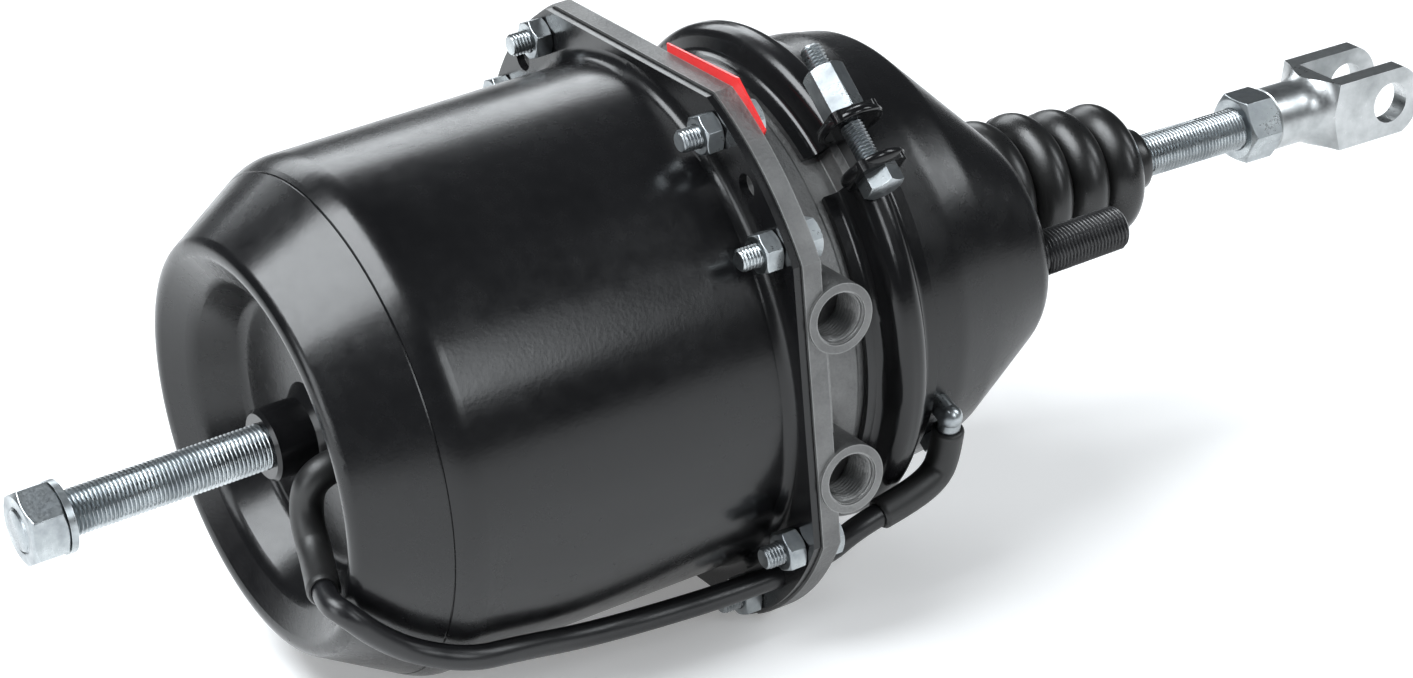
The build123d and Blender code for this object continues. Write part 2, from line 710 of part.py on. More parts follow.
def across(s):
    """Plane square to the drooping rod, s from its pivot."""
    return Plane(origin=PIVOT + Vector(C, 0, -S) * s, x_dir=(0, 1, 0), z_dir=(C, 0, -S))


side = Plane(origin=PIVOT, x_dir=(C, 0, -S), z_dir=(0, -1, 0))

with BuildPart() as push_rod:
    with BuildSketch(across(6.5)):
        Circle(ROD_R)
    extrude(amount=232.0 - 6.5)
    chamfer(push_rod.faces().sort_by(Axis.X)[-1].edges(), 1.0)
    with Locations((PIVOT_X, 0, 0)):
        Sphere(BALL_R)
push_rod.part.label = "push_rod"

with BuildPart() as lock_nut:
    with BuildSketch(across(201.7)):
        RegularPolygon(radius=12.0, side_count=6, major_radius=False, rotation=30)
        Circle(ROD_R + 0.02, mode=Mode.SUBTRACT)
    extrude(amount=14.3)
lock_nut.part.label = "lock_nut"

with BuildPart() as clevis:
    with BuildSketch(side):
        with BuildLine():
            Polyline((216.0, -FORK_HEIGHT / 2), (PIN_S, -FORK_HEIGHT / 2), (PIN_S, FORK_HEIGHT / 2), (216.0, FORK_HEIGHT / 2), close=True)
        make_face()
        with Locations((PIN_S, 0)):
            Circle(14.7)
        with Locations((PIN_S - 6, 0)):
            Rectangle(110, FORK_HEIGHT, mode=Mode.INTERSECT)
    extrude(amount=FORK_WIDTH / 2, both=True)
    with BuildSketch(side):
        with BuildLine():
            Line((216.0, 0), (216.0, 11.2))
            Line((216.0, 11.2), (216.8, 12.0))
            Line((216.8, 12.0), (229.0, 12.0))
            ThreePointArc((229.0, 12.0), (235.9, 14.3), (240.4, 21.6))
            Line((240.4, 21.6), (282.0, 21.6))
            Line((282.0, 21.6), (282.0, 0))
            Line((282.0, 0), (216.0, 0))
        make_face()
    revolve(axis=Axis(PIVOT, (C, 0, -S)), mode=Mode.INTERSECT)
    with BuildSketch(side):
        with Locations((262.0, 0)):
            Rectangle(40.0, FORK_HEIGHT + 4)
    extrude(amount=FORK_SLOT / 2, both=True, mode=Mode.SUBTRACT)
    with BuildSketch(across(215.0)):
        Circle(ROD_R + 0.02)
    extrude(amount=30, mode=Mode.SUBTRACT)
    with BuildSketch(side):
        with Locations((PIN_S, 0)):
            Circle(PIN_R)
    extrude(amount=FORK_WIDTH, both=True, mode=Mode.SUBTRACT)
clevis.part.label = "clevis"

# ------------------------------------------------------------------------ boot
BOOT_BASE = Vector(1.5, 0, -0.3)
BOOT_END = PIVOT + Vector(C, 0, -S) * 149.5
boot_dir = (BOOT_END - BOOT_BASE).normalized()
boot_side = Plane(origin=BOOT_BASE, x_dir=boot_dir, z_dir=(0, -1, 0))
BOOT_LINE = [
    (1.6, 25.6), (8.5, 20.6), (18.5, 31.0), (26.5, 19.0), (34.0, 30.4), (42.7, 18.6),
    (52.1, 28.4), (61.0, 18.0), (69.9, 27.2), (77.5, 12.0), (82.0, 10.6),
]
BOOT_RADII = [3.0, 3.0, 3.0, 3.0, 3.0, 3.0, 3.0, 3.0, 2.5]
with BuildPart() as boot:
    with BuildSketch(boot_side):
        with BuildLine():
            draw_sheet(BOOT_LINE, BOOT_RADII, 2.2)
        make_face()
    revolve(axis=Axis(BOOT_BASE, boot_dir))
    with BuildSketch(Plane.XY):
        with BuildLine():
            Polyline(
                (-5.5, 20.0), (-5.5, 27.0), (-3.05, 27.0), (-3.05, 23.9), (-0.55, 23.9), (-0.55, 28.0), (2.5, 27.0),
                (3.5, 25.0), (3.5, 20.0), close=True,
            )
        make_face()
    revolve(axis=Axis.X)
    with BuildSketch(across(145.5)):
        Circle(11.5)
        Circle(ROD_R + 0.03, mode=Mode.SUBTRACT)
    extrude(amount=9.5)
boot.part.label = "boot"

with BuildPart() as boot_retainer:
    with BuildSketch(Plane.XY):
        with BuildLine():
            ring(-7.5, -5.5, 20.5, 31.0)
        make_face()
    revolve(axis=Axis.X)
boot_retainer.part.label = "boot_retainer"

# ----------------------------------------------------------------- breather
HOSE_R = 4.25
SLEEVE_R = 5.7
REAR_ELBOW = [(-257.2, -24, -2), (-268.0, -24, -2), (-271.5, -20.0, -16.5), (-274.0, -31.5, -31.0), (-283.0, -53.5, -28.5)]
FRONT_ELBOW = [(-84.5, -77.4, -61.8), (-70.5, -76.6, -60.2), (-56.8, -73.4, -57.6)]
FRONT_ELBOW += [tuple(NIPPLE_TIP - SPIGOT_DIR * 15.2), tuple(NIPPLE_TIP - SPIGOT_DIR * 5.0)]
rear_run = (Vector(REAR_ELBOW[-1]) - Vector(REAR_ELBOW[-2])).normalized()
front_run = (Vector(FRONT_ELBOW[1]) - Vector(FRONT_ELBOW[0])).normalized()
HOSE = [
    tuple(Vector(REAR_ELBOW[-1]) - rear_run * 8), tuple(Vector(REAR_ELBOW[-1]) + rear_run * 8),
    (-283.4, -69.6, -29.5), (-274.5, -71.3, -40.3), (-262.0, -72.5, -50.6), (-246.0, -79.3, -56.3),
    (-228.0, -76.8, -60.3), (-200.0, -68.3, -70.4), (-172.0, -66.8, -74.5), (-142.0, -72.97, -72.97),
    (-106.0, -72.97, -72.97), tuple(Vector(FRONT_ELBOW[0]) - front_run * 9), tuple(Vector(FRONT_ELBOW[0]) + front_run * 6),
]
for name, route in (("rear elbow", REAR_ELBOW), ("front elbow", FRONT_ELBOW), ("hose", HOSE)):
    print(name, [round(r, 1) for r in hose_radii(route)])

with BuildPart() as breather_tube:
    with BuildLine():
        hose_line = FilletPolyline(*HOSE, radius=hose_radii(HOSE))
    with BuildSketch(Plane(origin=hose_line @ 0, z_dir=hose_line % 0)):
        Circle(HOSE_R)
        Circle(2.9, mode=Mode.SUBTRACT)
    sweep()
breather_tube.part.label = "breather_tube"
print("breather_tube", breather_tube.part.volume, hose_line.length * pi * (HOSE_R**2 - 2.9**2))

with BuildPart() as rear_elbow:
    with BuildLine():
        rear_line = FilletPolyline(*REAR_ELBOW, radius=hose_radii(REAR_ELBOW))
    with BuildSketch(Plane(origin=rear_line @ 0, z_dir=rear_line % 0)):
        Circle(SLEEVE_R)
        Circle(HOSE_R + 0.02, mode=Mode.SUBTRACT)
    sweep()
rear_elbow.part.label = "rear_elbow"
print("rear_elbow", rear_elbow.part.volume, rear_line.length * pi * (SLEEVE_R**2 - (HOSE_R + 0.02)**2))

with BuildPart() as front_elbow:
    with BuildLine():
        front_line = FilletPolyline(*FRONT_ELBOW, radius=hose_radii(FRONT_ELBOW))
    with BuildSketch(Plane(origin=front_line @ 0, z_dir=front_line % 0)):
        Circle(SLEEVE_R)
        Circle(HOSE_R + 0.02, mode=Mode.SUBTRACT)
    sweep()
front_elbow.part.label = "front_elbow"
print("front_elbow", front_elbow.part.volume, front_line.length * pi * (SLEEVE_R**2 - (HOSE_R + 0.02)**2))

# -------------------------------------------------------------------- export
export_step(spring_housing.part, "parts/spring_housing.step")
export_step(release_boss.part, "parts/release_boss.step")
export_step(rear_nipple.part, "parts/rear_nipple.step")
export_step(release_bolt.part, "parts/release_bolt.step")
export_step(release_nut.part, "parts/release_nut.step")
export_step(release_pin.part, "parts/release_pin.step")
export_step(release_washer.part, "parts/release_washer.step")
export_step(release_follower.part, "parts/release_follower.step")
export_step(spring_piston.part, "parts/spring_piston.step")
export_step(piston_seal.part, "parts/piston_seal.step")
export_step(piston_guide_ring.part, "parts/piston_guide_ring.step")
export_step(piston_tube.part, "parts/piston_tube.step")
export_step(thrust_piece.part, "parts/thrust_piece.step")
export_step(power_spring.part, "parts/power_spring.step")
export_step(centre_body.part, "parts/centre_body.step")
export_step(housing_seal.part, "parts/housing_seal.step")
export_step(hub_bush.part, "parts/hub_bush.step")
export_step(rear_hub_seal.part, "parts/rear_hub_seal.step")
export_step(front_hub_seal.part, "parts/front_hub_seal.step")
export_step(flange_bolts.part, "parts/flange_bolts.step")
export_step(flange_nuts.part, "parts/flange_nuts.step")
export_step(marker_plate.part, "parts/marker_plate.step")
export_step(clamp_half_upper.part, "parts/clamp_half_upper.step")
export_step(clamp_half_lower.part, "parts/clamp_half_lower.step")
export_step(clamp_bolts.part, "parts/clamp_bolts.step")
export_step(clamp_nuts.part, "parts/clamp_nuts.step")
export_step(diaphragm.part, "parts/diaphragm.step")
export_step(service_housing.part, "parts/service_housing.step")
export_step(mounting_studs.part, "parts/mounting_studs.step")
export_step(front_nipple.part, "parts/front_nipple.step")
export_step(drain_plug.part, "parts/drain_plug.step")
export_step(push_plate.part, "parts/push_plate.step")
export_step(return_spring.part, "parts/return_spring.step")
export_step(push_rod.part, "parts/push_rod.step")
export_step(lock_nut.part, "parts/lock_nut.step")
export_step(clevis.part, "parts/clevis.step")
export_step(boot.part, "parts/boot.step")
export_step(boot_retainer.part, "parts/boot_retainer.step")
export_step(breather_tube.part, "parts/breather_tube.step")
export_step(rear_elbow.part, "parts/rear_elbow.step")
export_step(front_elbow.part, "parts/front_elbow.step")
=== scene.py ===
import math

import bpy
from mathutils import Matrix, Vector


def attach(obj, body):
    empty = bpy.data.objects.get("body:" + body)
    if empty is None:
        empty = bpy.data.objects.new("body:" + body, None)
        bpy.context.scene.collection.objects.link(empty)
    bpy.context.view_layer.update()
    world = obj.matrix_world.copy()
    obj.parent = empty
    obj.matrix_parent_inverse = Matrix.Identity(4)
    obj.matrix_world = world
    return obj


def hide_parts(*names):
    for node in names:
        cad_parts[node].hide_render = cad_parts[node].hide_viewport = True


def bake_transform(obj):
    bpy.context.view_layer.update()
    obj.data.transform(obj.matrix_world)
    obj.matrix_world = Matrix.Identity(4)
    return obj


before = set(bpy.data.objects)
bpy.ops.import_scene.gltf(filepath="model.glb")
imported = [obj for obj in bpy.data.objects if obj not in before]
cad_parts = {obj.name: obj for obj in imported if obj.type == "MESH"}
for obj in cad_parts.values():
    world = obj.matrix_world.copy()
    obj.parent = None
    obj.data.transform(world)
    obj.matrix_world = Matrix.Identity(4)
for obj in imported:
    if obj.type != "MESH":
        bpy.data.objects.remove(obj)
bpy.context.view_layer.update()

MM = 0.001
PI = math.pi
scene = bpy.context.scene

# ------------------------------------------------------------------ camera
cam_data = bpy.data.cameras.new("camera")
cam_data.sensor_width = 36.0
cam_data.lens = 36.0 * 4000.0 / 1413.0
cam_data.clip_start = 0.05
cam_data.clip_end = 20.0
cam = bpy.data.objects.new("camera", cam_data)
scene.collection.objects.link(cam)
cam.matrix_world = Matrix((
    (0.84163683, 0.29746531, -0.45073478, -0.73637),
    (-0.53448584, 0.33938067, -0.77404499, -1.09032),
    (-0.07728086, 0.89237613, 0.44462626, 0.60843),
    (0.0, 0.0, 0.0, 1.0),
))
scene.camera = cam


# --------------------------------------------------------------- materials
class Nodes:
    """A material's node tree, with short names for what is used most."""

    def __init__(self, name):
        self.mat = bpy.data.materials.new(name)
        self.mat.use_nodes = True
        self.tree = self.mat.node_tree
        self.tree.nodes.clear()
        self.out = self.tree.nodes.new("ShaderNodeOutputMaterial")
        self.bsdf = self.tree.nodes.new("ShaderNodeBsdfPrincipled")
        self.tree.links.new(self.bsdf.outputs[0], self.out.inputs[0])
        self.coord = self.tree.nodes.new("ShaderNodeTexCoord")

    def set(self, **kw):
        for k, v in kw.items():
            self.bsdf.inputs[k.replace("_", " ")].default_value = v

    def link(self, a, b):
        self.tree.links.new(a, b)

    def mapping(self, scale=(1, 1, 1), rotation=(0, 0, 0), location=(0, 0, 0)):
        m = self.tree.nodes.new("ShaderNodeMapping")
        m.inputs["Scale"].default_value = scale
        m.inputs["Rotation"].default_value = rotation
        m.inputs["Location"].default_value = location
        self.link(self.coord.outputs["Object"], m.inputs["Vector"])
        return m.outputs[0]

    def noise(self, scale, detail=3.0, rough=0.5, vector=None, distortion=0.0):
        n = self.tree.nodes.new("ShaderNodeTexNoise")
        n.inputs["Scale"].default_value = scale
        n.inputs["Detail"].default_value = detail
        n.inputs["Roughness"].default_value = rough
        n.inputs["Distortion"].default_value = distortion
        self.link(vector or self.coord.outputs["Object"], n.inputs["Vector"])
        return n.outputs["Fac"]

    def voronoi(self, scale, feature="F1", vector=None):
        n = self.tree.nodes.new("ShaderNodeTexVoronoi")
        n.feature = feature
        n.inputs["Scale"].default_value = scale
        self.link(vector or self.coord.outputs["Object"], n.inputs["Vector"])
        return n.outputs["Distance"]

    def ramp(self, fac, stops):
        r = self.tree.nodes.new("ShaderNodeValToRGB")
        e = r.color_ramp.elements
        while len(e) > 1:
            e.remove(e[-1])
        for i, (p, c) in enumerate(stops):
            if not isinstance(c, (tuple, list)):
                c = (c, c, c)
            c = tuple(c) + (1.0,)
            if i == 0:
                e[0].position, e[0].color = p, c
            else:
                n = e.new(p)
                n.color = c
        self.link(fac, r.inputs[0])
        return r.outputs[0]

    def range(self, fac, lo, hi, a=0.0, b=1.0):
        m = self.tree.nodes.new("ShaderNodeMapRange")
        m.inputs["From Min"].default_value = a
        m.inputs["From Max"].default_value = b
        m.inputs["To Min"].default_value = lo
        m.inputs["To Max"].default_value = hi
        self.link(fac, m.inputs["Value"])
        return m.outputs[0]

    def math(self, op, a, b):
        m = self.tree.nodes.new("ShaderNodeMath")
        m.operation = op
        for i, v in enumerate((a, b)):
            if isinstance(v, (int, float)):
                m.inputs[i].default_value = v
            else:
                self.link(v, m.inputs[i])
        return m.outputs[0]

    def mix(self, fac, a, b):
        m = self.tree.nodes.new("ShaderNodeMix")
        m.data_type = "RGBA"
        for socket, v in ((m.inputs[0], fac), (m.inputs[6], a), (m.inputs[7], b)):
            if isinstance(v, (int, float)):
                socket.default_value = v
            elif isinstance(v, tuple):
                socket.default_value = v + (1.0,)
            else:
                self.link(v, socket)
        return m.outputs[2]

    def bump(self, height, strength, distance, normal=None):
        b = self.tree.nodes.new("ShaderNodeBump")
        b.inputs["Strength"].default_value = strength
        b.inputs["Distance"].default_value = distance
        self.link(height, b.inputs["Height"])
        if normal is not None:
            self.link(normal, b.inputs["Normal"])
        return b.outputs[0]

    def edge(self, radius=0.0008):
        """Painted highlight: a mask, white along convex and concave edges alike, that lightens them whatever the
        lamps.
        """
        b = self.tree.nodes.new("ShaderNodeBevel")
        b.samples = 6
        b.inputs["Radius"].default_value = radius
        g = self.tree.nodes.new("ShaderNodeNewGeometry")
        d = self.tree.nodes.new("ShaderNodeVectorMath")
        d.operation = "DOT_PRODUCT"
        self.link(b.outputs[0], d.inputs[0])
        self.link(g.outputs["Normal"], d.inputs[1])
        return self.range(d.outputs["Value"], 1.0, 0.0, 0.80, 0.99)


def black_paint(name, rough=0.24, grain=0.0, peel=0.05, coat=0.10):
    m = Nodes(name)
    broad = m.noise(14.0, 4.0, 0.6)
    fine = m.noise(160.0, 5.0, 0.6)
    dust = m.ramp(m.noise(2600.0, 2.0, 0.5), [(0.0, 0.0), (0.70, 0.0), (0.78, 1.0), (1.0, 1.0)])
    base = m.mix(m.range(broad, 0.0, 1.0, 0.3, 0.7), (0.0032, 0.0032, 0.0036), (0.0060, 0.0060, 0.0066))
    base = m.mix(m.math("MULTIPLY", dust, 0.22), base, (0.040, 0.039, 0.038))
    m.link(base, m.bsdf.inputs["Base Color"])
    r = m.math("ADD", m.range(broad, rough - 0.05, rough + 0.06, 0.3, 0.7), m.range(fine, -0.03, 0.04, 0.3, 0.7))
    m.link(r, m.bsdf.inputs["Roughness"])
    n = m.bump(m.noise(650.0, 2.0, 0.5), peel, 0.0006)
    if grain:
        n = m.bump(m.noise(1700.0, 3.0, 0.6), grain, 0.0005, n)
    m.link(n, m.bsdf.inputs["Normal"])
    m.set(Specular_IOR_Level=0.38, Coat_Weight=coat, Coat_Roughness=0.13)
    return m.mat


def zinc(name, rough=0.30, tint=(0.46, 0.49, 0.50), dark=(0.25, 0.27, 0.285), scale=1.0):
    m = Nodes(name)
    cloud = m.noise(70.0 * scale, 5.0, 0.62)
    fine = m.noise(900.0 * scale, 4.0, 0.6)
    base = m.mix(m.range(cloud, 0.0, 1.0, 0.36, 0.66), dark, tint)
    # painted edge highlight: edges lightened toward pale zinc
    base = m.mix(m.math("MULTIPLY", m.edge(0.0006), 0.35), base, (0.70, 0.72, 0.72))
    m.link(base, m.bsdf.inputs["Base Color"])
    r = m.math("ADD", m.range(cloud, rough + 0.10, rough - 0.06, 0.3, 0.7), m.range(fine, -0.05, 0.06, 0.3, 0.7))
    m.link(r, m.bsdf.inputs["Roughness"])
    m.link(m.bump(fine, 0.10, 0.0003), m.bsdf.inputs["Normal"])
    m.set(Metallic=1.0)
    return m.mat


def cast_aluminium(name):
    m = Nodes(name)
    sand = m.noise(1100.0, 4.0, 0.65)
    pits = m.voronoi(520.0)
    broad = m.noise(38.0, 4.0, 0.6)
    base = m.mix(m.range(broad, 0.0, 1.0, 0.3, 0.7), (0.13, 0.13, 0.13), (0.22, 0.22, 0.217))
    # painted edge highlight: edges lightened toward pale aluminium
    base = m.mix(m.math("MULTIPLY", m.edge(0.0009), 0.5), base, (0.46, 0.46, 0.455))
    m.link(base, m.bsdf.inputs["Base Color"])
    m.link(m.range(sand, 0.42, 0.62, 0.3, 0.7), m.bsdf.inputs["Roughness"])
    n = m.bump(sand, 0.35, 0.0006)
    n = m.bump(pits, 0.14, 0.0008, n)
    m.link(n, m.bsdf.inputs["Normal"])
    m.set(Metallic=0.85)
    return m.mat


def rubber(name, rough=0.38, tone=0.012):
    m = Nodes(name)
    broad = m.noise(45.0, 4.0, 0.6)
    fine = m.noise(1500.0, 3.0, 0.6)
    base = m.mix(m.range(broad, 0.0, 1.0, 0.3, 0.7), (tone * 0.7, tone * 0.7, tone * 0.72), (tone * 1.5, tone * 1.48, tone * 1.45))
    m.link(base, m.bsdf.inputs["Base Color"])
    m.link(m.math("ADD", m.range(broad, rough - 0.06, rough + 0.08, 0.3, 0.7), m.range(fine, -0.03, 0.03, 0.3, 0.7)), m.bsdf.inputs["Roughness"])
    n = m.bump(fine, 0.10, 0.0004)
    n = m.bump(m.noise(240.0, 3.0, 0.5), 0.06, 0.0010, n)
    m.link(n, m.bsdf.inputs["Normal"])
    m.set(Specular_IOR_Level=0.55)
    return m.mat


def plain(name, low, high, rough=0.35, metallic=0.0, scale=60.0, bump=0.06, coat=0.0):
    m = Nodes(name)
    broad = m.noise(scale, 4.0, 0.6)
    fine = m.noise(scale * 18, 3.0, 0.6)
    m.link(m.mix(m.range(broad, 0.0, 1.0, 0.3, 0.7), low, high), m.bsdf.inputs["Base Color"])
    m.link(m.range(fine, rough - 0.05, rough + 0.08, 0.3, 0.7), m.bsdf.inputs["Roughness"])
    m.link(m.bump(fine, bump, 0.0004), m.bsdf.inputs["Normal"])
    m.set(Metallic=metallic, Coat_Weight=coat)
    return m.mat


PAINT = black_paint("pot paint")
PAINT_DOME = black_paint("dome paint", rough=0.27, grain=0.10, peel=0.05)
PAINT_BAND = black_paint("band paint", rough=0.20, peel=0.05)
ZINC = zinc("zinc plating")
ZINC_THREAD = zinc("zinc plated thread", rough=0.26, tint=(0.47, 0.50, 0.515), dark=(0.27, 0.295, 0.31))
ZINC_FORGED = zinc("zinc plated forging", rough=0.33, tint=(0.54, 0.555, 0.56), dark=(0.34, 0.355, 0.36), scale=0.7)
CAST = cast_aluminium("sand cast aluminium")
RUBBER = rubber("boot rubber", rough=0.30, tone=0.006)
RUBBER_SLEEVE = rubber("sleeve rubber", rough=0.45, tone=0.008)
HOSE_MAT = plain("hose plastic", (0.004, 0.004, 0.005), (0.008, 0.008, 0.009), rough=0.33, scale=80.0)
RED = plain("red moulding", (0.62, 0.012, 0.014), (0.74, 0.020, 0.020), rough=0.34, scale=50.0, coat=0.2)
BRASS = plain("pin brass", (0.55, 0.38, 0.14), (0.72, 0.52, 0.22), rough=0.30, metallic=1.0, scale=120.0)
BLACK_STUD = plain("black phosphate stud", (0.010, 0.010, 0.011), (0.022, 0.022, 0.023), rough=0.30, metallic=0.0, scale=150.0, bump=0.10, coat=0.2)
SPRING = plain("spring steel", (0.05, 0.052, 0.056), (0.10, 0.102, 0.106), rough=0.38, metallic=1.0)
PISTON = plain("turned aluminium", (0.50, 0.51, 0.52), (0.62, 0.63, 0.64), rough=0.34, metallic=1.0)
BUSH = plain("bush plastic", (0.62, 0.60, 0.52), (0.74, 0.72, 0.64), rough=0.5)

NODE_MATERIAL = {
    "spring_housing": PAINT, "release_boss": PAINT_BAND, "rear_nipple": ZINC,
    "release_follower": ZINC, "release_washer": ZINC,
    "spring_piston": PISTON, "piston_guide_ring": BUSH, "piston_tube": ZINC, "thrust_piece": ZINC,
    "centre_body": CAST, "hub_bush": BUSH, "marker_plate": RED,
    "clamp_half_upper": PAINT_BAND, "clamp_half_lower": PAINT_BAND,
    "service_housing": PAINT_DOME, "front_nipple": ZINC, "push_plate": ZINC,
    "clevis": ZINC_FORGED, "boot_retainer": ZINC,
}


def dress(node, material):
    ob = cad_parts[node]
    ob.data.materials.clear()
    ob.data.materials.append(material)


for node, material in NODE_MATERIAL.items():
    dress(node, material)


# ------------------------------------------------------------------ meshes
def place(name, verts, faces, material, body, slot, replaces=(), angle=30.0, bevel=0.0, ride=True):
    me = bpy.data.meshes.new(name)
    me.from_pydata([tuple(c * MM for c in v) for v in verts], [], faces)
    me.validate()
    ob = bpy.data.objects.new(name, me)
    scene.collection.objects.link(ob)
    me.materials.append(material)
    for p in me.polygons:
        p.use_smooth = True
    me.set_sharp_from_angle(angle=math.radians(angle))
    if bevel:
        b = ob.modifiers.new("edges", "BEVEL")
        b.width = bevel * MM
        b.segments = 2
        b.limit_method = "ANGLE"
        b.angle_limit = math.radians(28)
        b.harden_normals = False
    if ride:
        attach(ob, body)
    if replaces:
        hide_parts(*replaces)
    return ob


def axes(origin=(0, 0, 0), x=(1, 0, 0), y=None):
    """A frame whose x is a part's own axis."""
    x = Vector(x).normalized()
    y = Vector(y) if y is not None else Vector((0, 1, 0))
    z = x.cross(y).normalized()
    y = z.cross(x)
    return Matrix(((x[0], y[0], z[0], origin[0]), (x[1], y[1], z[1], origin[1]), (x[2], y[2], z[2], origin[2]), (0, 0, 0, 1)))


def rings_mesh(rings, closed, m=None):
    """Rings of equal size joined by faces; closed joins the last to the first, else both ends are capped."""
    n = len(rings[0])
    verts = [v for ring in rings for v in ring]
    if m is not None:
        verts = [tuple(m @ Vector(v)) for v in verts]
    faces = []
    count = len(rings)
    for i in range(count if closed else count - 1):
        a, b = i * n, ((i + 1) % count) * n
        for j in range(n):
            k = (j + 1) % n
            faces.append((a + j, b + j, b + k, a + k))
    if not closed:
        faces.append(tuple(range(n)))
        faces.append(tuple(reversed(range((count - 1) * n, count * n))))
    return verts, faces


def turned(profile, segs=64, closed=True, m=None):
    """A profile of (x, r) turned about x."""
    rings = [[(x, r * math.cos(2 * PI * j / segs), r * math.sin(2 * PI * j / segs)) for j in range(segs)] for x, r in profile]
    return rings_mesh(rings, closed, m)


def merge(*parts):
    verts, faces = [], []
    for v, f in parts:
        k = len(verts)
        verts += list(v)
        faces += [tuple(i + k for i in face) for face in f]
    return verts, faces


def thread(x0, x1, r, pitch, c0=1.0, c1=1.0, segs=48, per=8, m=None, smooth_to=None):
    """A right-hand screw thread along x, chamfered at its ends."""
    n = max(8, int(round((x1 - x0) / pitch * per)))
    depth = 0.60 * pitch
    rings = []
    for i in range(n + 1):
        x = x0 + (x1 - x0) * i / n
        cut = max(c0 - (x - x0), c1 - (x1 - x), 0.0)
        ring = []
        for j in range(segs):
            ph = (x / pitch - j / segs) % 1.0
            tri = abs(2 * ph - 1)
            h = min(1.0, max(0.0, (tri - 0.10) / 0.78))
            rr = min(r - depth * h, r - cut)
            a = 2 * PI * j / segs
            ring.append((x, rr * math.cos(a), rr * math.sin(a)))
        rings.append(ring)
    return rings_mesh(rings, False, m)


def hexagon(af, h, hole=0.0, top=True, bottom=True, turn=0.0, segs=72, m=None, dish=0.0):
    """A nut or bolt head along x from 0 to h, with 30 degree chamfers."""
    rc = af / 2 * 0.955
    def outline(a):
        return af / 2 / math.cos((a + PI / 6) % (PI / 3) - PI / 6)
    def circle(x, r):
        return [(x, r * math.cos(2 * PI * j / segs + turn), r * math.sin(2 * PI * j / segs + turn)) for j in range(segs)]
    def edge(x, sign, on):
        out = []
        for j in range(segs):
            a = 2 * PI * j / segs
            r = outline(a)
            d = (r - rc) * math.tan(math.radians(30)) if on else 0.0
            out.append((x + sign * d, r * math.cos(a + turn), r * math.sin(a + turn)))
        return out
    rings = []
    if hole:
        rings.append(circle(0.0, hole + 0.8))
    if bottom:
        rings.append(circle(0.0, rc))
    rings.append(edge(0.0, 1, bottom))
    rings.append(edge(h, -1, top))
    if top:
        rings.append(circle(h, rc))
    if hole:
        rings.append(circle(h, hole + 0.8))
        rings.append(circle(h - 0.8, hole))
        rings.append(circle(0.8, hole))
        return rings_mesh(rings, True, m)
    if dish:
        rings.append(circle(h, rc * 0.72))
        rings.append(circle(h - dish, rc * 0.66))
    return rings_mesh(rings, False, m)


def flip(mesh):
    return mesh[0], [tuple(reversed(f)) for f in mesh[1]]


ROT = {}
C, S = math.cos(math.radians(2.3)), math.sin(math.radians(2.3))
PIVOT = Vector((-66.0, 0.0, 0.0))
ROD = Vector((C, 0, -S))


def rod_axes(s=0.0):
    return axes(PIVOT + ROD * s, ROD)


# --- release bolt, nut, pin
bolt = merge(
    thread(-362.6, -200.0, 8.0, 1.5, 1.2, 0.2, segs=56),
    turned([(-200.0, 0.01), (-200.0, 7.95), (-180.0, 7.95), (-180.0, 10.4), (-171.0, 10.4), (-170.0, 9.4), (-170.0, 0.01)], 56, False),
)
place("release_bolt_thread", *bolt, ZINC_THREAD, "release_screw", "zinc", ["release_bolt"], angle=50)
nut = hexagon(24.0, 13.0, 7.4, turn=0.0, m=axes((-362.1, 0, 0)))
place("release_nut_hex", *nut, ZINC, "release_screw", "zinc", ["release_nut"], bevel=0.25)
pin = turned([(0, 1.15), (0, 1.7), (0.4, 2.05), (24.2, 2.05), (24.6, 1.7), (24.6, 1.15)], 32, True, axes((-355.6, 0, -12.3), (0, 0, 1), (1, 0, 0)))
place("release_roll_pin", *pin, BRASS, "release_screw", "pin_brass", ["release_pin"])

# --- studs
STUD = 120.65 / 2
SA, CA = math.sin(math.radians(3.9)), math.cos(math.radians(3.9))
studs = []
for sign in (-1, 1):
    o = (0.0, sign * STUD * CA, -sign * STUD * SA)
    studs.append(merge(
        thread(0.3, 35.0, 8.0, 1.5, 0.3, 1.2, segs=48, m=axes(o)),
        turned([(-3.0, 0.01), (-3.0, 7.18), (0.6, 7.18), (0.6, 0.01)], 48, False, axes(o)),
    ))
place("stud_threads", *merge(*studs), BLACK_STUD, "chamber", "black_studs", ["mounting_studs"], angle=50)

# --- push rod, lock nut
rod = merge(
    thread(90.0, 232.0, 8.0, 1.5, 0.0, 1.2, segs=52, m=rod_axes()),
    turned([(6.5, 0.01), (6.5, 7.9), (90.0, 7.9), (90.0, 0.01)], 52, False, rod_axes()),
    turned([(10.0 * math.cos(PI * k / 24), max(0.01, 10.0 * math.sin(PI * k / 24))) for k in range(24, -1, -1)], 48, False, rod_axes()),
)
place("push_rod_thread", *rod, ZINC_THREAD, "rod", "zinc", ["push_rod"], angle=50)
lock = hexagon(24.0, 14.3, 7.4, turn=math.radians(30), m=rod_axes(201.7))
place("lock_nut_hex", *lock, ZINC, "rod", "zinc", ["lock_nut"], bevel=0.25)

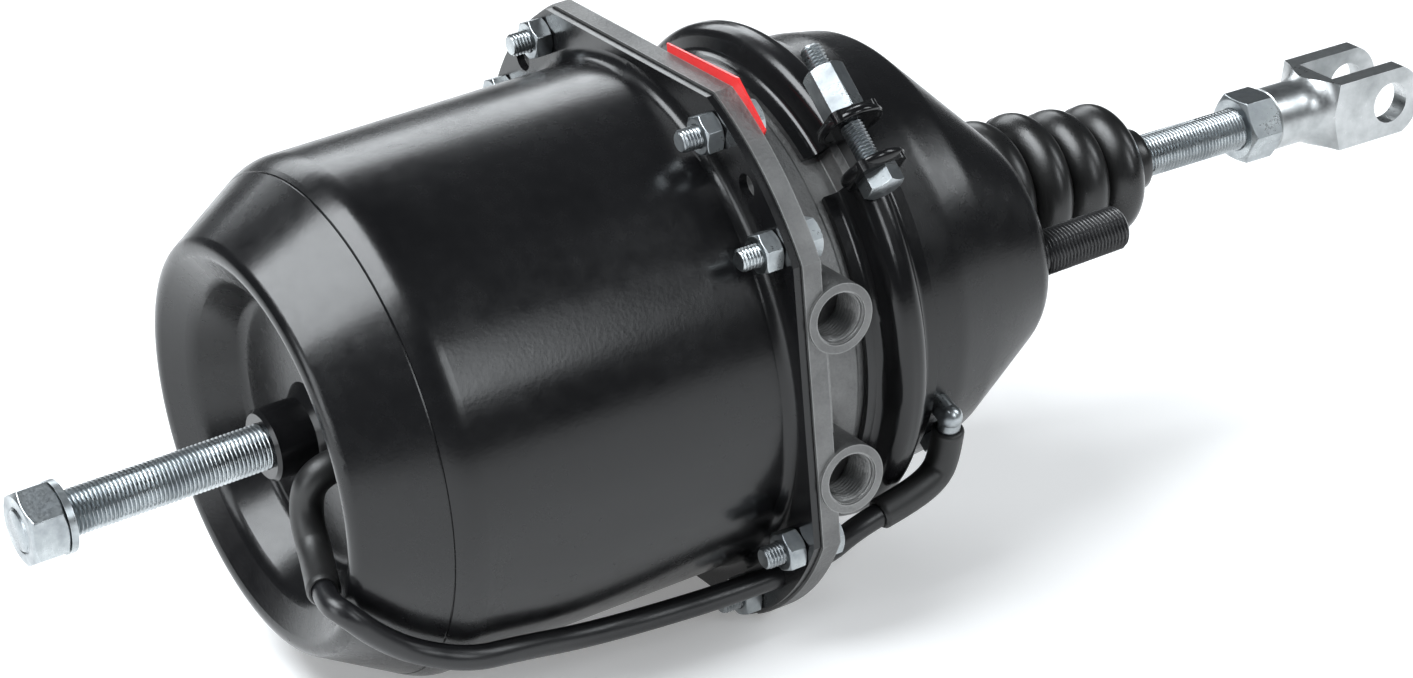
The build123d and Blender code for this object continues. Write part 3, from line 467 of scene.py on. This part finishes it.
# --- flange bolts and nuts
bolts, nuts = [], []
for q in (0, 90, 180, 270):
    for a in (32.5, 57.5):
        t = math.radians(a + q)
        y, z = 103.2 * math.cos(t), 103.2 * math.sin(t)
        raised = 0.8 if abs(y + 55.4) < 1 and abs(z - 87.0) < 1 else 0.0
        turn = math.radians((a * 7 + q * 3) % 60)
        bolts.append(thread(-137.7, -128.0, 4.0, 1.25, 0.8, 0.0, segs=28, per=7, m=axes((0, y, z))))
        bolts.append(turned([(-128.0, 0.01), (-128.0, 3.9), (-114.0 + raised, 3.9), (-114.0 + raised, 0.01)], 28, False, axes((0, y, z))))
        bolts.append(hexagon(13.0, 5.3, bottom=False, turn=math.radians(15), m=axes((-114.0 + raised, y, z))))
        nuts.append(hexagon(13.0, 6.8, 3.5, turn=math.radians(8), m=axes((-130.8, y, z))))
place("flange_bolt_set", *merge(*bolts), ZINC, "chamber", "zinc", ["flange_bolts"], angle=35)
place("flange_nut_set", *merge(*nuts), ZINC, "chamber", "zinc", ["flange_nuts"], bevel=0.18)

# --- clamp bolts and long nuts
cb, cn = [], []
ang = math.radians(46.5)
for sign in (1, -1):
    out = Vector((0, -sign * math.cos(ang), sign * math.sin(ang)))
    along = Vector((0, sign * math.sin(ang), sign * math.cos(ang)))
    o = Vector((-75.0, 0, 0)) + out * 98.0
    m = axes(o, along, (1, 0, 0))
    cb.append(thread(-11.5, 38.5, 4.0, 1.25, 0.0, 0.8, segs=28, per=7, m=m))
    cb.append(hexagon(13.0, 6.0, top=False, m=axes(o + along * -17.5, along, (1, 0, 0)), dish=0.0))
    cn.append(hexagon(13.0, 18.0, 3.5, m=axes(o + along * 11.5, along, (1, 0, 0))))
place("clamp_bolt_set", *merge(*cb), ZINC, "chamber", "zinc", ["clamp_bolts"], angle=35)
place("clamp_nut_set", *merge(*cn), ZINC, "chamber", "zinc", ["clamp_nuts"], bevel=0.18)

# --- service housing: round behind, drawn out in front into an oval pad
def round_line(points, radii, steps=16):
    out = [points[0]]
    for i in range(1, len(points) - 1):
        a, b, c = Vector(points[i - 1]), Vector(points[i]), Vector(points[i + 1])
        u, v = (a - b).normalized(), (c - b).normalized()
        half = u.angle(v) / 2
        t = radii[i - 1] / math.tan(half)
        mid = (u + v).normalized()
        centre = b + mid * (radii[i - 1] / math.sin(half))
        p, q = b + u * t - centre, b + v * t - centre
        for k in range(steps + 1):
            w = p.lerp(q, k / steps)
            out.append(tuple(centre + w.normalized() * radii[i - 1]))
    out.append(points[-1])
    return out


def moved_in(line, t):
    out = []
    for i, p in enumerate(line):
        d = Vector(line[min(i + 1, len(line) - 1)]) - Vector(line[max(i - 1, 0)])
        d.normalize()
        out.append((p[0] + d[1] * t, p[1] - d[0] * t))
    return out


def at_x(line, x):
    for (x0, y0), (x1, y1) in zip(line, line[1:]):
        if x0 <= x <= x1 and x1 > x0:
            return y0 + (y1 - y0) * (x - x0) / (x1 - x0)
    return line[-1][1]


SIDE = round_line([(-66.0, 79.0), (-45.0, 79.0), (-30.1, 76.1), (0.0, 70.2), (0.0, 20.0)], [25.0, 8.0, 8.0])
TOP = round_line([(-66.0, 78.9), (-45.0, 78.9), (-30.1, 75.9), (0.0, 36.0), (0.0, 20.0)], [25.0, 6.0, 8.0])
HSEG = 240


def oval(x, half, rise):
    c, h = max(0.0, half - rise), rise
    ring = []
    for j in range(HSEG):
        a = 2 * PI * j / HSEG
        f = a + math.radians(3.9)
        cf, sf = abs(math.cos(f)), abs(math.sin(f))
        if sf > 1e-6 and h / sf * cf <= c:
            r = h / sf
        else:
            r = c * cf + math.sqrt(max(0.0, h * h - c * c * sf * sf))
        ring.append((x, r * math.cos(a), r * math.sin(a)))
    return ring


def ease(n, a, b):
    return [a + (b - a) * math.sin(PI / 2 * k / n) for k in range(n + 1)]


outer_x = [-66 + 1.0 * k for k in range(58)] + ease(22, -8.5, -0.001)
inner_x = [-66 + 1.5 * k for k in range(36)] + ease(14, -13.0, -3.0)
side_in, top_in = moved_in(SIDE, 3.0), moved_in(TOP, 3.0)
shell = [oval(-71.0, 84.5, 84.5), oval(-68.8, 84.5, 84.5)]
shell += [oval(x, at_x(SIDE, x), at_x(TOP, x)) for x in outer_x]
shell += [oval(0.0, 56.0, 32.6), oval(0.0, 29.2, 29.2), oval(-0.6, 29.2, 29.2), oval(-0.6, 24.0, 24.0), oval(-3.0, 24.0, 24.0)]
shell += [oval(x, at_x(side_in, x), at_x(top_in, x)) for x in reversed(inner_x)]
shell += [oval(-71.0, 76.0, 76.0)]
housing_mesh = rings_mesh(shell, True)
place("service_housing_shell", *housing_mesh, PAINT_DOME, "chamber", "black_paint", ["service_housing"], angle=42)

# --- screw threads inside the two ports
def inner_thread(x0, x1, r, pitch, segs, per, m):
    n = int(round((x1 - x0) / pitch * per))
    inside, outside = [], []
    for i in range(n + 1):
        x = x0 + (x1 - x0) * i / n
        ring = []
        for j in range(segs):
            tri = abs(2 * ((x / pitch - j / segs) % 1.0) - 1)
            rr = r - 0.62 * min(1.0, max(0.0, (tri - 0.12) / 0.76)) * min(1.0, (x - x0) / 1.4, (x1 - x) / 1.4)
            a = 2 * PI * j / segs
            ring.append((x, rr * math.cos(a), rr * math.sin(a)))
        inside.append(ring)
        outside.append([(x, (r + 0.03) * math.cos(2 * PI * j / segs), (r + 0.03) * math.sin(2 * PI * j / segs)) for j in range(segs)])
    return rings_mesh(inside + outside[::-1], True, m)


port_threads = [inner_thread(84.2, 99.2, 8.85, 1.5, 56, 8, axes((-108.3, 0, z), (0, -1, 0), (1, 0, 0))) for z in (29.9, -29.9)]
place("port_threads", *merge(*port_threads), CAST, "chamber", "cast_aluminium", [], angle=50)

# --- turned-out ends of the band
cups = []
for sign in (1, -1):
    out = Vector((0, -sign * math.cos(ang), sign * math.sin(ang)))
    along = Vector((0, sign * math.sin(ang), sign * math.cos(ang)))
    o = Vector((-74.4, 0, 0)) + out * 96.8
    for way in (1, -1):
        cups.append(turned([
            (7.2, 11.1), (7.5, 11.7), (8.3, 12.0), (9.3, 11.7), (10.4, 10.7), (11.2, 9.2), (11.45, 8.0), (11.45, 4.6),
            (8.2, 4.6), (8.1, 8.8), (7.6, 10.2)], 64, True, axes(o, along * way, (1, 0, 0))))
place("clamp_band_ends", *merge(*cups), PAINT_BAND, "chamber", "black_paint", [], angle=60)

# --- small plug in the service housing's wall
pa = math.radians(38.0)
pd = Vector((0, -math.cos(pa), -math.sin(pa)))
plug = merge(
    hexagon(10.0, 4.5, bottom=False, m=axes(Vector((-49.6, 0, 0)) + pd * 79.1, pd, (1, 0, 0))),
    turned([(0.0, 0.01), (0.0, 3.9), (4.0, 3.9), (4.0, 0.01)], 32, False, axes(Vector((-49.6, 0, 0)) + pd * 76.0, pd, (1, 0, 0))),
)
place("drain_plug_hex", *plug, ZINC, "chamber", "zinc", ["drain_plug"], bevel=0.15)


# --- boot
def boot_centre(x):
    """Height of the boot's axis at x, and its slope."""
    x0, x1 = 3.0, 80.0
    z1 = -S / C * (x1 + 66.0)
    if x <= x0:
        return 0.0, 0.0
    if x >= x1:
        return -S / C * (x + 66.0), -S / C
    u = (x - x0) / (x1 - x0)
    h = x1 - x0
    return z1 * (3 * u * u - 2 * u ** 3) + (-S / C) * h * (u ** 3 - u * u), z1 * (6 * u - 6 * u * u) / h + (-S / C) * (3 * u * u - 2 * u)


lobes = [(20.0, 28.4, 8.2), (36.3, 28.0, 8.2), (53.6, 26.2, 8.8), (71.2, 25.0, 8.4)]
valleys = [(11.4, 20.0), (28.1, 17.6), (44.8, 17.2), (62.4, 16.8), (80.0, 12.6)]
profile = [(-0.5, 27.6), (0.6, 28.0), (2.2, 27.4), (4.5, 24.6), (7.5, 21.8), (10.2, 20.3)]
for (xc, rc, w), (xa, ra), (xb, rb) in zip(lobes, valleys, valleys[1:]):
    steps = 26
    for k in range(1, steps):
        x = xa + (xb - xa) * (0.5 - 0.5 * math.cos(PI * k / steps))
        u = (x - xa) / (xb - xa) * 2 - 1
        base = ra + (rb - ra) * (u + 1) / 2
        profile.append((x, base + (rc - base) * (1 - abs(u) ** 2.0) ** 0.60))
    profile.append((xb, rb - 0.3))
profile += [(80.8, 11.9), (82.0, 11.5), (83.2, 11.9), (85.0, 12.0), (86.6, 11.9), (88.4, 11.6), (89.0, 11.0)]
profile += [(89.0, 8.2), (80.5, 8.2)]
inner = [(x, max(8.2, r - 1.3)) for x, r in profile[:-9] if x < 79]
SEG = 144


def boot_rings(line):
    out = []
    for x, r in line:
        z, slope = boot_centre(x)
        nrm = Vector((1, 0, slope)).normalized()
        upv = Vector((-nrm[2], 0, nrm[0]))
        ring = []
        for j in range(SEG):
            a = 2 * PI * j / SEG
            seam = 0.35 if (j % (SEG // 2)) == 20 and 11 < x < 80 and r > 17 else 0.0
            rr = r + seam
            ring.append(tuple(Vector((x, 0, z)) + Vector((0, 1, 0)) * (rr * math.cos(a)) + upv * (rr * math.sin(a))))
        out.append(ring)
    return out


# two lengths that meet in a valley
CUT = 44.8
rear_line = [q for q in profile if q[0] <= CUT + 0.01] + [q for q in reversed(inner) if q[0] <= CUT + 0.01]
front_line = [q for q in profile if q[0] >= CUT - 0.01] + [q for q in reversed(inner) if q[0] >= CUT - 0.01]
v, f = rings_mesh(boot_rings(rear_line), True)
boot = place("boot_bellows", v, f, RUBBER, "chamber", "black_rubber", ["boot"], angle=70, ride=False)
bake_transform(boot)
v, f = rings_mesh(boot_rings(front_line), True)
boot_front = place("boot_bellows_front", v, f, RUBBER, "plate", "black_rubber", [], angle=70, ride=False)
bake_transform(boot_front)


# --- springs and diaphragm
def coil(x0, x1, r0, r1, wire, turns, per=48, side=20):
    n = int(turns * per)
    rings = []
    pts = []
    for i in range(n + 1):
        t = i / n
        a = 2 * PI * turns * t
        r = r0 + (r1 - r0) * t
        pts.append(Vector((x0 + (x1 - x0) * t, r * math.cos(a), r * math.sin(a))))
    for i, p in enumerate(pts):
        d = (pts[min(i + 1, n)] - pts[max(i - 1, 0)]).normalized()
        radial = Vector((0, p[1], p[2])).normalized()
        b = d.cross(radial).normalized()
        radial = b.cross(d)
        rings.append([tuple(p + radial * (wire / 2 * math.cos(2 * PI * k / side)) + b * (wire / 2 * math.sin(2 * PI * k / side))) for k in range(side)])
    return rings_mesh(rings, False)


ps = place("power_spring_coil", *coil(-266.9, -194.7, 67.0, 67.0, 13.0, 4.5), SPRING, "chamber", "spring_steel", ["power_spring"], angle=60, ride=False)
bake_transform(ps)
rs = place("return_spring_coil", *coil(-78.7, -6.2, 24.0, 33.1, 4.0, 4.25), SPRING, "chamber", "spring_steel", ["return_spring"], angle=60, ride=False)
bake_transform(rs)
dia = place("diaphragm_sheet", *turned([
    (-87.0, 0.01), (-87.0, 69.0), (-86.0, 71.4), (-82.5, 74.9), (-75.0, 75.05), (-75.0, 84.5), (-71.0, 84.5), (-71.0, 72.5),
    (-80.0, 72.4), (-83.2, 69.5), (-84.0, 67.5), (-84.0, 0.01)], 96, False), RUBBER_SLEEVE, "chamber", "black_rubber", ["diaphragm"], ride=False)
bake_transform(dia)


def o_ring(name, x0, x1, r0, r1, node, body):
    xc, rc, hx, hr = (x0 + x1) / 2, (r0 + r1) / 2, (x1 - x0) / 2, (r1 - r0) / 2
    pts = []
    for k in range(24):
        a = 2 * PI * k / 24
        ca, sa = math.cos(a), math.sin(a)
        pts.append((xc + hx * math.copysign(abs(ca) ** 0.6, ca), rc + hr * math.copysign(abs(sa) ** 0.6, sa)))
    place(name, *turned(pts, 96), RUBBER_SLEEVE, body, "black_rubber", [node], angle=60)


o_ring("piston_seal_ring", -195.7, -190.3, 84.0, 88.2, "piston_seal", "piston")
o_ring("housing_seal_ring", -123.4, -121.1, 88.3, 90.6, "housing_seal", "chamber")
o_ring("rear_hub_seal_ring", -118.8, -115.2, 15.05, 19.0, "rear_hub_seal", "chamber")
o_ring("front_hub_seal_ring", -96.8, -93.2, 15.05, 19.0, "front_hub_seal", "chamber")


# --- breather tube and its two rubber elbows
def nurbs(name, points, resolution=16):
    cu = bpy.data.curves.new(name, "CURVE")
    cu.dimensions = "3D"
    sp = cu.splines.new("NURBS")
    sp.points.add(len(points) - 1)
    for p, q in zip(sp.points, points):
        p.co = (q[0] * MM, q[1] * MM, q[2] * MM, 1.0)
    sp.order_u = 3
    sp.use_endpoint_u = True
    sp.resolution_u = resolution
    cu.resolution_u = resolution
    return cu


def line_of(cu):
    ob = bpy.data.objects.new("route", cu)
    scene.collection.objects.link(ob)
    me = bpy.data.meshes.new_from_object(ob)
    pts = [v.co.copy() / MM for v in me.vertices]
    bpy.data.objects.remove(ob)
    bpy.data.meshes.remove(me)
    return pts


def sleeve(name, points, radius, bore, material, node, lip=0.5):
    pts = line_of(nurbs(name + "_route", points, 24))
    side = 40
    total = sum((b - a).length for a, b in zip(pts, pts[1:]))
    up = Vector((0, 0, 1))
    rings, inner = [], []
    run = 0.0
    for i, p in enumerate(pts):
        if i:
            run += (p - pts[i - 1]).length
        d = (pts[min(i + 1, len(pts) - 1)] - pts[max(i - 1, 0)]).normalized()
        up = (up - d * up.dot(d)).normalized()
        sd = d.cross(up)
        e = min(run, total - run)
        r = radius - (0.8 * (1 - min(1.0, e / 1.2)) ** 2 if e < 1.2 else 0.0)
        rings.append([tuple(p + up * (r * math.cos(2 * PI * k / side)) + sd * (r * math.sin(2 * PI * k / side))) for k in range(side)])
        inner.append([tuple(p + up * (bore * math.cos(2 * PI * k / side)) + sd * (bore * math.sin(2 * PI * k / side))) for k in range(side)])
    return place(name, *rings_mesh(rings + inner[::-1], True), material, "chamber", "black_rubber", [node], angle=50)


def vec(*v):
    return Vector(v)


NIPPLE = math.radians(22.9)
nd = vec(0, -math.cos(NIPPLE), -math.sin(NIPPLE))
REAR_ELBOW = [vec(-257.2, -24, -2), vec(-268.0, -24, -2), vec(-271.5, -20.0, -16.5), vec(-274.0, -31.5, -31.0), vec(-283.0, -53.5, -28.5)]
TIP = vec(-53.8, 0, 0) + nd * 86.2
SPIGOT = vec(-0.1, -2.85, 9.7).normalized()
FRONT_ELBOW = [vec(-84.5, -77.4, -61.8), vec(-70.5, -76.6, -60.2), vec(-56.8, -73.4, -57.6), TIP - SPIGOT * 15.2, TIP - SPIGOT * 5.0]
rear_run = (REAR_ELBOW[-1] - REAR_ELBOW[-2]).normalized()
front_run = (FRONT_ELBOW[1] - FRONT_ELBOW[0]).normalized()
HOSE = [
    REAR_ELBOW[-1] - rear_run * 8, REAR_ELBOW[-1] + rear_run * 8,
    vec(-283.4, -69.6, -29.5), vec(-274.5, -71.3, -40.3), vec(-262.0, -72.5, -50.6), vec(-246.0, -79.3, -56.3),
    vec(-228.0, -76.8, -60.3), vec(-200.0, -68.3, -70.4), vec(-172.0, -66.8, -74.5), vec(-142.0, -72.97, -72.97),
    vec(-106.0, -72.97, -72.97), FRONT_ELBOW[0] - front_run * 9, FRONT_ELBOW[0] + front_run * 6,
]
hose_curve = nurbs("breather_hose", HOSE, 24)
hose_curve.bevel_depth = 4.25 * MM
hose_curve.bevel_resolution = 8
hose_curve.use_fill_caps = True
hose_curve.materials.append(HOSE_MAT)
hose = bpy.data.objects.new("breather_hose", hose_curve)
scene.collection.objects.link(hose)
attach(hose, "chamber")
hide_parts("breather_tube")
sleeve("rear_elbow_sleeve", REAR_ELBOW, 5.7, 4.3, RUBBER_SLEEVE, "rear_elbow")
sleeve("front_elbow_sleeve", FRONT_ELBOW, 5.7, 4.3, RUBBER_SLEEVE, "front_elbow")

# --------------------------------------------------------- floor and lights
TILT = math.atan2(99.05 - 91.35, 241.0 - 114.0)
floor_mesh = bpy.data.meshes.new("floor")
floor_mesh.from_pydata([(-6, -6, 0), (6, -6, 0), (6, 6, 0), (-6, 6, 0)], [], [(0, 1, 2, 3)])
floor = bpy.data.objects.new("floor", floor_mesh)
scene.collection.objects.link(floor)
floor.matrix_world = Matrix.Translation(Vector((-0.241, 0, -0.0914))) @ Matrix.Rotation(TILT, 4, "Y")
fm = Nodes("floor")
fn = fm.noise(3.0, 3.0, 0.5)
fm.link(fm.mix(fn, (0.86, 0.86, 0.86), (0.89, 0.89, 0.89)), fm.bsdf.inputs["Base Color"])
fm.set(Roughness=0.75, Specular_IOR_Level=0.2, Emission_Color=(1.0, 1.0, 1.0, 1.0), Emission_Strength=0.25)
floor_mesh.materials.append(fm.mat)

world = bpy.data.worlds.new("studio")
scene.world = world
world.use_nodes = True
bg = world.node_tree.nodes["Background"]
bg.inputs[0].default_value = (0.88, 0.94, 1.0, 1.0)
bg.inputs[1].default_value = 0.10


def area(name, location, target, size, energy, size_y=None):
    d = bpy.data.lights.new(name, "AREA")
    d.shape = "RECTANGLE"
    d.size = size
    d.size_y = size_y or size
    d.energy = energy
    d.color = (0.93, 0.97, 1.0)
    o = bpy.data.objects.new(name, d)
    scene.collection.objects.link(o)
    o.location = location
    o.rotation_mode = "QUATERNION"
    o.rotation_quaternion = (Vector(target) - Vector(location)).to_track_quat("-Z", "Y")
    return o


MID = (-0.1, 0.0, 0.0)
area("key", (-0.75, 0.15, 1.35), MID, 1.3, 38.0, 0.8)
area("left", (-1.7, -0.3, 0.55), MID, 0.7, 9.0, 0.9)
area("front", (0.35, -1.7, 1.0), MID, 0.5, 9.0, 0.8)
area("right", (1.3, -0.8, 1.1), MID, 0.5, 11.0, 0.9)
area("back", (0.3, 1.7, 0.9), MID, 1.4, 14.0, 0.7)

scene.view_settings.view_transform = "Standard"
scene.view_settings.look = "None"
scene.view_settings.exposure = 0.0
